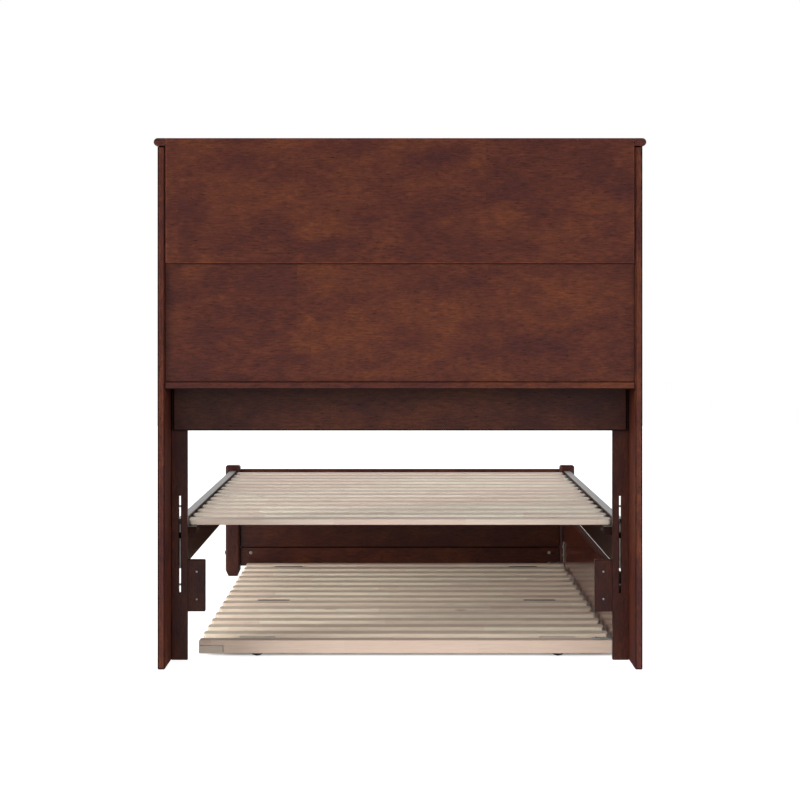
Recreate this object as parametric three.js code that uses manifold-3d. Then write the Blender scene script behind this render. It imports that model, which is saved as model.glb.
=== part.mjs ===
// Twin platform bed with a bookcase headboard, a low footboard and a trundle that rolls out sideways.
// Millimetres, +Z up, origin on the floor at the middle of the whole bed.
// X runs across the bed, and the trundle rolls out towards +X. Y runs from the headboard to the foot.
import * as THREE from "three";
import { mergeVertices } from "three/addons/utils/BufferGeometryUtils.js";
import Module from "manifold-3d";

const wasm = await Module();
wasm.setup();

// The mattress that the bed is made for, and the room left round it
const MATTRESS_WIDTH = 991;
const MATTRESS_LENGTH = 1905;
const SIDE_ROOM = 4.5;
const END_ROOM = 18;

// Gap left wherever two pieces meet
const FIT = 0.3;

// How far a cutting block reaches past the face that it cuts through
const CUT_PAST = 1;

// Points closer together than this are one point when a geometry becomes a solid
const SAME_POINT = 1e-4;

// Straight steps in a quarter turn of a board's full-round edge, of a small rounded corner,
// and of a foot post's edges
const ROUND_EDGE_STEPS = 6;
const CORNER_STEPS = 3;
const FOOT_POST_STEPS = 6;

// Sides of a caster's axle and wheel
const AXLE_SIDES = 16;
const WHEEL_SIDES = 24;

// Headboard case: two tall side panels, shelves between them and a board on top
const CASE_DEPTH = 184;
const CASE_HEIGHT = 1179;
const CASE_BOARD = 16.5;
const TOP_BOARD = 18;
const TOP_SIDE_OVERHANG = 8.5;
const TOP_FRONT_OVERHANG = 12;
const BOTTOM_SHELF_TOP = 648.5;
const SEAM_HEIGHT = 915.5;
const SHELF_SETBACK = 12;
const DIVIDER_SPACING = 352;

// Backs: a thick upper one, flush with the side panels, and a thin lower one set in from them.
// The upper one has a tongue along each side, which closes the bottom of the gap beside it.
const UPPER_BACK = 16.5;
const UPPER_BACK_SIDE_GAP = 2.1;
const UPPER_BACK_GAP_DEPTH = 8;
const LOWER_BACK = 6;

// Headboard posts, which show a little inside the rails, and the apron rail behind them
const POST_REVEAL = 8;
const HEAD_POST_WIDTH = 37.3;
const HEAD_POST_THICKNESS = 19;
const APRON_HEIGHT = 100;
const APRON_THICKNESS = 16.5;
const APRON_END_GAP = 5;

// Slot in each post that takes the hooks of a side rail, measured from the rail's top and bottom
const SLOT_WIDTH = 4.6;
const SLOT_ABOVE_RAIL = 55;
const SLOT_BELOW_RAIL = 60;

// Side rails and their slat ledgers
const RAIL_THICKNESS = 19.5;
const RAIL_TOP = 325;
const RAIL_HEIGHT = 109;
const LEDGER_WIDTH = 25.7;
const LEDGER_HEIGHT = 18;
const LEDGER_END_GAP = 6;

// Steel hook plates let into the rails' ends: each reaches into the post's slot, and its hook drops
// over a pin there. A plate stops short of the rail's top and hangs a little below the rail.
const HOOK_THICKNESS = 3;
const HOOK_PLATE_LENGTH = 40;
const HOOK_PLATE_MARGIN = 1.5;
const HOOK_PLATE_BELOW_RAIL = 4.5;
const HOOK_REACH = 12.5;
const HOOK_CORNER = 8.5;
const HOOK_HEIGHT = 28.5;
const HOOK_NIB = 5;
const HOOK_MOUTH = 13.5;
const HOOK_SEAT_RISE = 8;
const HOOK_POCKET_ROOM = 3;

// Bed slats, round at their corners
const SLAT_THICKNESS = 14;
const SLAT_BELOW_RAIL = 4;
const SLAT_END_GAP = 4;
const SLAT_CORNER_RADIUS = 9;
const BED_SLATS = 14;
const BED_SLAT_WIDTH = 64;
const HEAD_SLAT_GAP = 51;
const FOOT_SLAT_GAP = 30;

// Footboard
const FOOT_POST = 45;
const FOOT_POST_PROUD = 15.2;
const FOOT_POST_ABOVE_RAIL = 15.4;
const FOOT_POST_EDGE_RADIUS = 9;
const FOOT_POST_TOP_RADIUS = 8;
const FOOT_TAPER_HEIGHT = 20;
const FOOT_TAPER_INSET = 9;
const FOOT_PANEL_SETBACK = 13;
const FOOT_BOARD = 19.5;
const FOOT_PANEL_ABOVE_RAIL = 3;
const FOOT_SEAM = 88;
const FOOT_STRETCHER_BOTTOM = 31;

// Stop blocks on the headboard posts, which the trundle's front panel closes against
const BLOCK_WIDTH = 47.4;
const BLOCK_HEIGHT = 120.7;
const BLOCK_THICKNESS = 18;
const BLOCK_ABOVE_RAIL_BOTTOM = 14.7;
const BLOCK_CORNER_RADIUS = 2.5;

// Casters: a housing screwed to the edge of a deck board, with a wheel on an axle inside it
const WHEEL_RADIUS = 20;
const WHEEL_WIDTH = 18;
const WHEEL_EDGE = 3;
const WHEEL_DISH = 2;
const WHEEL_RIM = 5;
const HUB_RADIUS = 8;
const AXLE_RADIUS = 3;
const AXLE_GAP = 0.4;
const HOUSING_LENGTH = 84;
const HOUSING_WALL = 2.5;
const HOUSING_TOP = 1.5;
const HOUSING_FLOOR_GAP = 12;
const HOUSING_BELOW_DECK = 0.5;
const WHEEL_SIDE_GAP = 2;
const WHEEL_TOP_GAP = 1;
const CASTER_LEFT_INSET = 132;
const CASTER_RIGHT_INSET = 129.5;
const CASTER_BOARDS = [0, 6, 13];

// Trundle: a deck of slats between two end rails, and a front panel under the right side rail.
// The deck stops further from the foot posts than from the headboard, and the panel goes past it.
const DECK_WIDTH = 967.5;
const DECK_PANEL_GAP = 5;
const DECK_HEAD_CLEARANCE = 4;
const DECK_FOOT_CLEARANCE = 21;
const PANEL_END_CLEARANCE = 7;
const FRONT_PANEL = 19.5;
const PANEL_BELOW_RAIL = 20;
const PANEL_FLOOR_GAP = 12;
const PANEL_EDGE_RADIUS = 3;
const END_RAIL_WIDTH = 47;
const END_RAIL_FLOOR_GAP = 12;
const TRUNDLE_SLATS = 13;
const TRUNDLE_SLAT_WIDTH = 62;
const BEARER_WIDTH = 30;
const BEARER_FLOOR_GAP = 9;
const BEARER_INSET = 42;
const BEARER_HOUSING = 1;

// Steel angles that tie the front panel to the trundle's end rails, in the middle of each rail
const ANGLE_THICKNESS = 3;
const ANGLE_WIDTH = 20;
const ANGLE_FOOT = 52;
const ANGLE_RISE = 66;

// Heights and places that follow from the sizes above
const RAIL_INSIDE = MATTRESS_WIDTH / 2 + SIDE_ROOM;
const RAIL_OUTSIDE = RAIL_INSIDE + RAIL_THICKNESS;
const RAIL_CENTRE = RAIL_INSIDE + RAIL_THICKNESS / 2;
const RAIL_BOTTOM = RAIL_TOP - RAIL_HEIGHT;
const POST_INSIDE = RAIL_INSIDE - POST_REVEAL;
const POST_OUTSIDE = POST_INSIDE + HEAD_POST_WIDTH;
const POST_BACK = CASE_DEPTH - HEAD_POST_THICKNESS;
const CASE_INSIDE = POST_OUTSIDE + FIT;
const CASE_OUTSIDE = CASE_INSIDE + CASE_BOARD;
const SHELF_END = CASE_INSIDE - FIT;
const BOTTOM_SHELF_UNDER = BOTTOM_SHELF_TOP - CASE_BOARD;
const MIDDLE_SHELF_UNDER = SEAM_HEIGHT - CASE_BOARD / 2;
const SHELF_BACK = UPPER_BACK + FIT;
const SHELF_FRONT = CASE_DEPTH - SHELF_SETBACK;
const HEAD_HEIGHT = CASE_HEIGHT + TOP_BOARD;
const UPPER_BACK_HALF = CASE_INSIDE - UPPER_BACK_SIDE_GAP;
const FOOT_PANEL_FACE = CASE_DEPTH + MATTRESS_LENGTH + END_ROOM;
const FOOT_POST_FACE = FOOT_PANEL_FACE - FOOT_PANEL_SETBACK;
const FOOT_POST_OUTSIDE = RAIL_OUTSIDE + FOOT_POST_PROUD;
const FOOT_POST_INSIDE = FOOT_POST_OUTSIDE - FOOT_POST;
const FOOT_POST_HEIGHT = RAIL_TOP + FOOT_POST_ABOVE_RAIL;
const TOTAL_LENGTH = FOOT_POST_FACE + FOOT_POST;
const SLAT_UNDER = RAIL_TOP - SLAT_BELOW_RAIL - SLAT_THICKNESS;
const SLOT_BOTTOM = RAIL_BOTTOM - SLOT_BELOW_RAIL;
const SLOT_TOP = RAIL_TOP + SLOT_ABOVE_RAIL;
const HOOK_PLATE_TOP = RAIL_TOP - HOOK_PLATE_MARGIN;
const HOOK_PLATE_BOTTOM = RAIL_BOTTOM - HOOK_PLATE_BELOW_RAIL;

const PANEL_INSIDE = RAIL_INSIDE;
const DECK_TOP = 2 * WHEEL_RADIUS + WHEEL_TOP_GAP + HOUSING_TOP + HOUSING_BELOW_DECK;
const DECK_UNDER = DECK_TOP - SLAT_THICKNESS;
const DECK_LEFT = PANEL_INSIDE - DECK_WIDTH;
const DECK_RIGHT = PANEL_INSIDE - DECK_PANEL_GAP;
const TRUNDLE_NEAR = CASE_DEPTH + DECK_HEAD_CLEARANCE;
const TRUNDLE_FAR = FOOT_POST_FACE - DECK_FOOT_CLEARANCE;
const DECK_NEAR = TRUNDLE_NEAR + END_RAIL_WIDTH + FIT;
const DECK_FAR = TRUNDLE_FAR - END_RAIL_WIDTH - FIT;
const FIRST_BOARD = TRUNDLE_NEAR + END_RAIL_WIDTH / 2;
const LAST_BOARD = TRUNDLE_FAR - END_RAIL_WIDTH / 2;
const BOARD_PITCH = (LAST_BOARD - FIRST_BOARD) / (TRUNDLE_SLATS + 1);
const HOUSING_INSIDE_WIDTH = WHEEL_WIDTH + 2 * WHEEL_SIDE_GAP;
const HOUSING_WIDTH = HOUSING_INSIDE_WIDTH + 2 * HOUSING_WALL;

// Finishes
const walnut = () => new THREE.MeshStandardMaterial({ color: 0x572f28, roughness: 0.35, metalness: 0 });
const pine = () => new THREE.MeshStandardMaterial({ color: 0xd8c2ad, roughness: 0.7, metalness: 0 });
const zinc = () => new THREE.MeshStandardMaterial({ color: 0xb9bab8, roughness: 0.35, metalness: 0.9 });
const plastic = () => new THREE.MeshStandardMaterial({ color: 0x2b2b2d, roughness: 0.6, metalness: 0 });

const SIDES = [
  ["left", -1],
  ["right", 1],
];

// Everything is laid out from the headboard's back, so one group moves it to the bed's middle.
const bed = new THREE.Group();
bed.position.y = -TOTAL_LENGTH / 2;

// A three.js geometry as a solid that can be joined and cut
function solid(geometry) {
  const bare = geometry.clone();
  bare.deleteAttribute("normal");
  bare.deleteAttribute("uv");
  const merged = mergeVertices(bare, SAME_POINT);
  return new wasm.Manifold(
    new wasm.Mesh({
      numProp: 3,
      vertProperties: new Float32Array(merged.attributes.position.array),
      triVerts: new Uint32Array(merged.index.array),
    }),
  );
}

// A joined and cut solid back as a three.js geometry
function geometryOf(made) {
  const mesh = made.getMesh();
  const geometry = new THREE.BufferGeometry();
  geometry.setAttribute("position", new THREE.BufferAttribute(new Float32Array(mesh.vertProperties), 3));
  geometry.setIndex(new THREE.BufferAttribute(new Uint32Array(mesh.triVerts), 1));
  geometry.computeVertexNormals();
  return geometry;
}

// A rectangular block between two corners
function block([x0, y0, z0], [x1, y1, z1]) {
  const geometry = new THREE.BoxGeometry(x1 - x0, y1 - y0, z1 - z0);
  return geometry.translate((x0 + x1) / 2, (y0 + y1) / 2, (z0 + z1) / 2);
}

// A rectangle with round corners, centred on the origin
function roundedRectangle(width, height, radius) {
  const shape = new THREE.Shape();
  const x = width / 2 - radius;
  const y = height / 2 - radius;
  shape.absarc(x, y, radius, 0, Math.PI / 2);
  shape.absarc(-x, y, radius, Math.PI / 2, Math.PI);
  shape.absarc(-x, -y, radius, Math.PI, 1.5 * Math.PI);
  shape.absarc(x, -y, radius, 1.5 * Math.PI, 2 * Math.PI);
  shape.closePath();
  return shape;
}

function extrude(shape, depth, curveSegments = CORNER_STEPS) {
  return new THREE.ExtrudeGeometry(shape, { depth, steps: 1, curveSegments, bevelEnabled: false });
}

function add(name, geometry, material, at = [0, 0, 0]) {
  const mesh = new THREE.Mesh(geometry, material);
  mesh.name = name;
  mesh.position.set(...at);
  bed.add(mesh);
}

// A straight board between two corners, placed by its middle
function board(name, material, [x0, y0, z0], [x1, y1, z1]) {
  const geometry = new THREE.BoxGeometry(x1 - x0, y1 - y0, z1 - z0);
  add(name, geometry, material, [(x0 + x1) / 2, (y0 + y1) / 2, (z0 + z1) / 2]);
}

// The same walnut board on both sides of the bed, given by its inner and outer faces
function pairOfBoards(name, [inside, y0, z0], [outside, y1, z1]) {
  board(name + "_left", walnut(), [-outside, y0, z0], [-inside, y1, z1]);
  board(name + "_right", walnut(), [inside, y0, z0], [outside, y1, z1]);
}

function caseSides() {
  pairOfBoards("head_side", [CASE_INSIDE, 0, 0], [CASE_OUTSIDE, CASE_DEPTH, CASE_HEIGHT - FIT]);
}

// The top board has full-round ends and a full-round front, and is cut back for the upper back panel.
function topBoard() {
  const halfLength = CASE_OUTSIDE + TOP_SIDE_OVERHANG;
  const depth = CASE_DEPTH + TOP_FRONT_OVERHANG;
  const round = TOP_BOARD / 2;
  const across = extrude(roundedRectangle(2 * halfLength, TOP_BOARD, round), depth, ROUND_EDGE_STEPS);
  across.rotateX(Math.PI / 2).translate(0, depth, 0);
  const along = extrude(roundedRectangle(2 * depth, TOP_BOARD, round), 2 * halfLength, ROUND_EDGE_STEPS);
  along.rotateX(Math.PI / 2).rotateZ(Math.PI / 2).translate(-halfLength, 0, 0);
  const notchHalf = UPPER_BACK_HALF + FIT;
  const notch = block([-notchHalf, -CUT_PAST, -TOP_BOARD], [notchHalf, UPPER_BACK + FIT, TOP_BOARD]);
  const made = solid(across).intersect(solid(along)).subtract(solid(notch));
  add("head_top_board", geometryOf(made), walnut(), [0, 0, CASE_HEIGHT + round]);
}

function shelves() {
  board(
    "head_middle_shelf",
    walnut(),
    [-SHELF_END, SHELF_BACK, MIDDLE_SHELF_UNDER],
    [SHELF_END, SHELF_FRONT, MIDDLE_SHELF_UNDER + CASE_BOARD],
  );
  board(
    "head_bottom_shelf",
    walnut(),
    [-SHELF_END, 0, BOTTOM_SHELF_UNDER],
    [SHELF_END, CASE_DEPTH, BOTTOM_SHELF_TOP],
  );
}

function dividers() {
  const inside = DIVIDER_SPACING / 2 - CASE_BOARD / 2;
  pairOfBoards(
    "head_divider",
    [inside, SHELF_BACK, BOTTOM_SHELF_TOP + FIT],
    [inside + CASE_BOARD, SHELF_FRONT, MIDDLE_SHELF_UNDER - FIT],
  );
}

function backs() {
  const face = block([-UPPER_BACK_HALF, 0, SEAM_HEIGHT], [UPPER_BACK_HALF, UPPER_BACK, HEAD_HEIGHT]);
  const tongues = block(
    [-SHELF_END, UPPER_BACK_GAP_DEPTH, SEAM_HEIGHT],
    [SHELF_END, UPPER_BACK, CASE_HEIGHT - FIT],
  );
  add("head_upper_back", geometryOf(solid(face).add(solid(tongues))), walnut());
  board(
    "head_lower_back",
    walnut(),
    [-SHELF_END, UPPER_BACK - LOWER_BACK, BOTTOM_SHELF_TOP + FIT],
    [SHELF_END, UPPER_BACK, SEAM_HEIGHT - FIT],
  );
}

function apron() {
  const half = POST_OUTSIDE - APRON_END_GAP;
  const top = BOTTOM_SHELF_UNDER - FIT;
  board(
    "head_apron_rail",
    walnut(),
    [-half, POST_BACK - FIT - APRON_THICKNESS, top - APRON_HEIGHT],
    [half, POST_BACK - FIT, top],
  );
}

// Each post stands inside a side panel, under the bottom shelf, and is slotted for a rail's hooks.
function headPosts() {
  for (const [side, sign] of SIDES) {
    const middle = sign * (POST_INSIDE + HEAD_POST_WIDTH / 2);
    const slotX = sign * RAIL_CENTRE - middle;
    const post = block(
      [-HEAD_POST_WIDTH / 2, 0, 0],
      [HEAD_POST_WIDTH / 2, HEAD_POST_THICKNESS, BOTTOM_SHELF_UNDER - FIT],
    );
    const slot = block(
      [slotX - SLOT_WIDTH / 2, -CUT_PAST, SLOT_BOTTOM],
      [slotX + SLOT_WIDTH / 2, HEAD_POST_THICKNESS + CUT_PAST, SLOT_TOP],
    );
    const made = solid(post).subtract(solid(slot));
    add("head_post_" + side, geometryOf(made), walnut(), [middle, POST_BACK, 0]);
  }
}

function stopBlocks() {
  const outline = roundedRectangle(BLOCK_WIDTH, BLOCK_HEIGHT, BLOCK_CORNER_RADIUS);
  const near = CASE_DEPTH + FIT;
  const middle = RAIL_BOTTOM + BLOCK_ABOVE_RAIL_BOTTOM - BLOCK_HEIGHT / 2;
  for (const [side, sign] of SIDES) {
    const geometry = extrude(outline, BLOCK_THICKNESS).rotateX(Math.PI / 2);
    const x = sign * (RAIL_INSIDE - FIT - BLOCK_WIDTH / 2);
    add("stop_block_" + side, geometry, walnut(), [x, near + BLOCK_THICKNESS, middle]);
  }
}

// A hook plate seen from the side, with the rail's end on zero and the hook on the minus side.
// The hook's mouth opens towards the slot, and its seat rises behind the nib.
function hookPlateShape() {
  const nibEnd = HOOK_PLATE_TOP - HOOK_HEIGHT;
  const mouthBottom = nibEnd - HOOK_MOUTH;
  const seat = nibEnd + HOOK_SEAT_RISE;
  const shape = new THREE.Shape();
  shape.moveTo(HOOK_PLATE_LENGTH, HOOK_PLATE_BOTTOM);
  shape.lineTo(HOOK_PLATE_LENGTH, HOOK_PLATE_TOP);
  shape.lineTo(HOOK_CORNER - HOOK_REACH, HOOK_PLATE_TOP);
  shape.lineTo(-HOOK_REACH, HOOK_PLATE_TOP - HOOK_CORNER);
  shape.lineTo(-HOOK_REACH, nibEnd);
  shape.lineTo(HOOK_NIB - HOOK_REACH, nibEnd);
  shape.lineTo(HOOK_NIB - HOOK_REACH, seat);
  shape.lineTo(FIT, seat);
  shape.lineTo(FIT, mouthBottom);
  shape.lineTo(-HOOK_REACH, mouthBottom);
  shape.lineTo(-HOOK_REACH, HOOK_PLATE_BOTTOM);
  shape.closePath();
  return shape;
}

function hookPlate() {
  const geometry = extrude(hookPlateShape(), HOOK_THICKNESS);
  return geometry.rotateX(Math.PI / 2).rotateZ(Math.PI / 2).translate(-HOOK_THICKNESS / 2, 0, 0);
}

// The cut in a rail's end that a hook plate sits in
function kerf() {
  const half = HOOK_THICKNESS / 2 + FIT;
  return block(
    [-half, -CUT_PAST, HOOK_PLATE_BOTTOM - FIT],
    [half, HOOK_PLATE_LENGTH + FIT, HOOK_PLATE_TOP + FIT],
  );
}

function sideRails() {
  const start = CASE_DEPTH + FIT;
  const end = FOOT_POST_FACE - FIT;
  const length = end - start;
  const rail = solid(block([-RAIL_THICKNESS / 2, 0, RAIL_BOTTOM], [RAIL_THICKNESS / 2, length, RAIL_TOP]));
  const farKerf = kerf().rotateZ(Math.PI).translate(0, length, 0);
  const made = rail.subtract(solid(kerf())).subtract(solid(farKerf));
  for (const [side, sign] of SIDES) {
    const x = sign * RAIL_CENTRE;
    add("side_rail_" + side, geometryOf(made), walnut(), [x, start, 0]);
    add("hook_plate_head_" + side, hookPlate(), zinc(), [x, start, 0]);
    add("hook_plate_foot_" + side, hookPlate().rotateZ(Math.PI), zinc(), [x, end, 0]);
  }
}

function slatLedgers() {
  const top = SLAT_UNDER - FIT;
  pairOfBoards(
    "slat_ledger",
    [RAIL_INSIDE - FIT - LEDGER_WIDTH, CASE_DEPTH + LEDGER_END_GAP, top - LEDGER_HEIGHT],
    [RAIL_INSIDE - FIT, FOOT_POST_FACE - LEDGER_END_GAP, top],
  );
}

// A slat with round corners, lying on the plane z = 0
function slatGeometry(length, width) {
  const radius = Math.min(SLAT_CORNER_RADIUS, width / 2);
  return extrude(roundedRectangle(length, width, radius), SLAT_THICKNESS);
}

function bedSlats() {
  const length = 2 * (RAIL_INSIDE - SLAT_END_GAP);
  const first = CASE_DEPTH + HEAD_SLAT_GAP + BED_SLAT_WIDTH / 2;
  const last = FOOT_POST_FACE - FOOT_SLAT_GAP - BED_SLAT_WIDTH / 2;
  const pitch = (last - first) / (BED_SLATS - 1);
  for (let i = 0; i < BED_SLATS; i += 1) {
    const name = "bed_slat_" + String(i + 1).padStart(2, "0");
    add(name, slatGeometry(length, BED_SLAT_WIDTH), pine(), [0, first + i * pitch, SLAT_UNDER]);
  }
}

// The side view of a foot post: a foot that tapers in, and a rounded top
function footPostProfile() {
  const half = FOOT_POST / 2;
  const bend = half - FOOT_POST_TOP_RADIUS;
  const bendHeight = FOOT_POST_HEIGHT - FOOT_POST_TOP_RADIUS;
  const profile = new THREE.Shape();
  profile.moveTo(half - FOOT_TAPER_INSET, 0);
  profile.lineTo(half, FOOT_TAPER_HEIGHT);
  profile.absarc(bend, bendHeight, FOOT_POST_TOP_RADIUS, 0, Math.PI / 2);
  profile.absarc(-bend, bendHeight, FOOT_POST_TOP_RADIUS, Math.PI / 2, Math.PI);
  profile.lineTo(-half, FOOT_TAPER_HEIGHT);
  profile.lineTo(FOOT_TAPER_INSET - half, 0);
  profile.closePath();
  return profile;
}

// A square post with rounded edges, tapered and rounded alike on all four sides
function footPostSolid() {
  const half = FOOT_POST / 2;
  const outline = roundedRectangle(FOOT_POST, FOOT_POST, FOOT_POST_EDGE_RADIUS);
  const column = solid(extrude(outline, FOOT_POST_HEIGHT, FOOT_POST_STEPS));
  const frontView = extrude(footPostProfile(), FOOT_POST, FOOT_POST_STEPS);
  frontView.rotateX(Math.PI / 2).translate(0, half, 0);
  const sideView = frontView.clone().rotateZ(Math.PI / 2);
  return column.intersect(solid(frontView)).intersect(solid(sideView));
}

// Each foot post has a pocket for a side rail's hook plate.
function footPosts() {
  const half = FOOT_POST / 2;
  const pocket = HOOK_REACH + HOOK_POCKET_ROOM;
  const middle = FOOT_POST_OUTSIDE - half;
  for (const [side, sign] of SIDES) {
    const slotX = sign * (RAIL_CENTRE - middle);
    const slot = block(
      [slotX - SLOT_WIDTH / 2, -half - CUT_PAST, HOOK_PLATE_BOTTOM - FIT],
      [slotX + SLOT_WIDTH / 2, pocket - half, RAIL_TOP],
    );
    const made = footPostSolid().subtract(solid(slot));
    add("foot_post_" + side, geometryOf(made), walnut(), [sign * middle, FOOT_POST_FACE + half, 0]);
  }
}

function footBoards() {
  const half = FOOT_POST_INSIDE - FIT;
  const back = FOOT_PANEL_FACE + FOOT_BOARD;
  const top = RAIL_TOP + FOOT_PANEL_ABOVE_RAIL;
  board("foot_panel", walnut(), [-half, FOOT_PANEL_FACE, FOOT_SEAM + FIT], [half, back, top]);
  board(
    "foot_stretcher",
    walnut(),
    [-half, FOOT_PANEL_FACE, FOOT_STRETCHER_BOTTOM],
    [half, back, FOOT_SEAM],
  );
}

// The front panel stands under the right side rail, with its two top edges rounded.
function trundlePanel() {
  const near = CASE_DEPTH + PANEL_END_CLEARANCE;
  const far = FOOT_POST_FACE - PANEL_END_CLEARANCE;
  const half = FRONT_PANEL / 2;
  const top = RAIL_BOTTOM - PANEL_BELOW_RAIL;
  const bend = half - PANEL_EDGE_RADIUS;
  const shape = new THREE.Shape();
  shape.moveTo(-half, PANEL_FLOOR_GAP);
  shape.lineTo(half, PANEL_FLOOR_GAP);
  shape.absarc(bend, top - PANEL_EDGE_RADIUS, PANEL_EDGE_RADIUS, 0, Math.PI / 2);
  shape.absarc(-bend, top - PANEL_EDGE_RADIUS, PANEL_EDGE_RADIUS, Math.PI / 2, Math.PI);
  shape.closePath();
  const geometry = extrude(shape, far - near).rotateX(Math.PI / 2);
  add("trundle_front_panel", geometry, walnut(), [PANEL_INSIDE + half, far, 0]);
}

function trundleEndRails() {
  const ends = [
    ["trundle_rail_head", TRUNDLE_NEAR],
    ["trundle_rail_foot", TRUNDLE_FAR - END_RAIL_WIDTH],
  ];
  for (const [name, y] of ends) {
    board(
      name,
      pine(),
      [DECK_LEFT, y, END_RAIL_FLOOR_GAP],
      [PANEL_INSIDE - FIT, y + END_RAIL_WIDTH, DECK_TOP],
    );
  }
}

// The slats are nailed and glued to two bearers that run between the end rails, so the deck is one piece.
function trundleDeck() {
  const bearers = [DECK_LEFT + BEARER_INSET, DECK_RIGHT - BEARER_INSET - BEARER_WIDTH].map((x) =>
    solid(
      block([x, DECK_NEAR, BEARER_FLOOR_GAP], [x + BEARER_WIDTH, DECK_FAR, DECK_UNDER + BEARER_HOUSING]),
    ),
  );
  let deck = bearers[0].add(bearers[1]);
  const middle = (DECK_LEFT + DECK_RIGHT) / 2;
  for (let i = 1; i <= TRUNDLE_SLATS; i += 1) {
    const slat = slatGeometry(DECK_RIGHT - DECK_LEFT, TRUNDLE_SLAT_WIDTH);
    deck = deck.add(solid(slat.translate(middle, FIRST_BOARD + i * BOARD_PITCH, DECK_UNDER)));
  }
  add("trundle_deck", geometryOf(deck), pine());
}

// An angle's foot lies on the end rail, and its rise stands against the front panel.
function trundleAngles() {
  const shape = new THREE.Shape();
  shape.moveTo(0, 0);
  shape.lineTo(0, ANGLE_RISE);
  shape.lineTo(-ANGLE_THICKNESS, ANGLE_RISE);
  shape.lineTo(-ANGLE_THICKNESS, ANGLE_THICKNESS);
  shape.lineTo(-ANGLE_FOOT, ANGLE_THICKNESS);
  shape.lineTo(-ANGLE_FOOT, 0);
  shape.closePath();
  const ends = [
    ["trundle_angle_head", FIRST_BOARD],
    ["trundle_angle_foot", LAST_BOARD],
  ];
  for (const [name, y] of ends) {
    const geometry = extrude(shape, ANGLE_WIDTH).rotateX(Math.PI / 2);
    add(name, geometry, zinc(), [PANEL_INSIDE - FIT, y + ANGLE_WIDTH / 2, DECK_TOP + FIT]);
  }
}

// The casters hang behind the near end rail and two of the slats, a pair to each board.
function casterPlaces() {
  const columns = [DECK_LEFT + CASTER_LEFT_INSET, PANEL_INSIDE - CASTER_RIGHT_INSET];
  return CASTER_BOARDS.flatMap((boardIndex) => {
    const width = boardIndex === 0 ? END_RAIL_WIDTH : TRUNDLE_SLAT_WIDTH;
    const edge = FIRST_BOARD + boardIndex * BOARD_PITCH + width / 2;
    return columns.map((x) => [x, edge + FIT + HOUSING_WIDTH / 2]);
  });
}

// A housing open underneath, with the axle riveted through its two long walls. Its origin is on the axle.
function casterHousing() {
  const halfLength = HOUSING_LENGTH / 2;
  const halfWidth = HOUSING_WIDTH / 2;
  const bottom = HOUSING_FLOOR_GAP - WHEEL_RADIUS;
  const ceiling = WHEEL_RADIUS + WHEEL_TOP_GAP;
  const shell = block([-halfLength, -halfWidth, bottom], [halfLength, halfWidth, ceiling + HOUSING_TOP]);
  const hollow = block(
    [HOUSING_WALL - halfLength, -HOUSING_INSIDE_WIDTH / 2, bottom - CUT_PAST],
    [halfLength - HOUSING_WALL, HOUSING_INSIDE_WIDTH / 2, ceiling],
  );
  const axle = new THREE.CylinderGeometry(AXLE_RADIUS, AXLE_RADIUS, HOUSING_WIDTH, AXLE_SIDES);
  return geometryOf(solid(shell).subtract(solid(hollow)).add(solid(axle)));
}

// A wheel turned about Y: a tread with rounded edges, a dished web, and a hub with the axle's bore
function wheelGeometry() {
  const half = WHEEL_WIDTH / 2;
  const bore = AXLE_RADIUS + AXLE_GAP;
  const rim = WHEEL_RADIUS - WHEEL_RIM;
  const web = half - WHEEL_DISH;
  const edge = WHEEL_EDGE * (1 - Math.SQRT1_2);
  const oneSide = [
    [bore, half],
    [HUB_RADIUS, half],
    [HUB_RADIUS, web],
    [rim, web],
    [rim, half],
    [WHEEL_RADIUS - WHEEL_EDGE, half],
    [WHEEL_RADIUS - edge, half - edge],
    [WHEEL_RADIUS, half - WHEEL_EDGE],
  ];
  const otherSide = oneSide.map(([r, y]) => [r, -y]);
  const outline = [...otherSide, ...oneSide.reverse(), otherSide[0]];
  return new THREE.LatheGeometry(
    outline.map(([r, y]) => new THREE.Vector2(r, y)),
    WHEEL_SIDES,
  );
}

function casters() {
  casterPlaces().forEach(([x, y], i) => {
    add("caster_housing_" + (i + 1), casterHousing(), plastic(), [x, y, WHEEL_RADIUS]);
    add("caster_wheel_" + (i + 1), wheelGeometry(), plastic(), [x, y, WHEEL_RADIUS]);
  });
}

caseSides();
topBoard();
shelves();
dividers();
backs();
apron();
headPosts();
stopBlocks();
sideRails();
slatLedgers();
bedSlats();
footPosts();
footBoards();
trundlePanel();
trundleEndRails();
trundleDeck();
trundleAngles();
casters();

export default bed;
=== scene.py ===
import math
import random

import bmesh
import bpy
import numpy as np
from mathutils import Matrix, Vector


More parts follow.
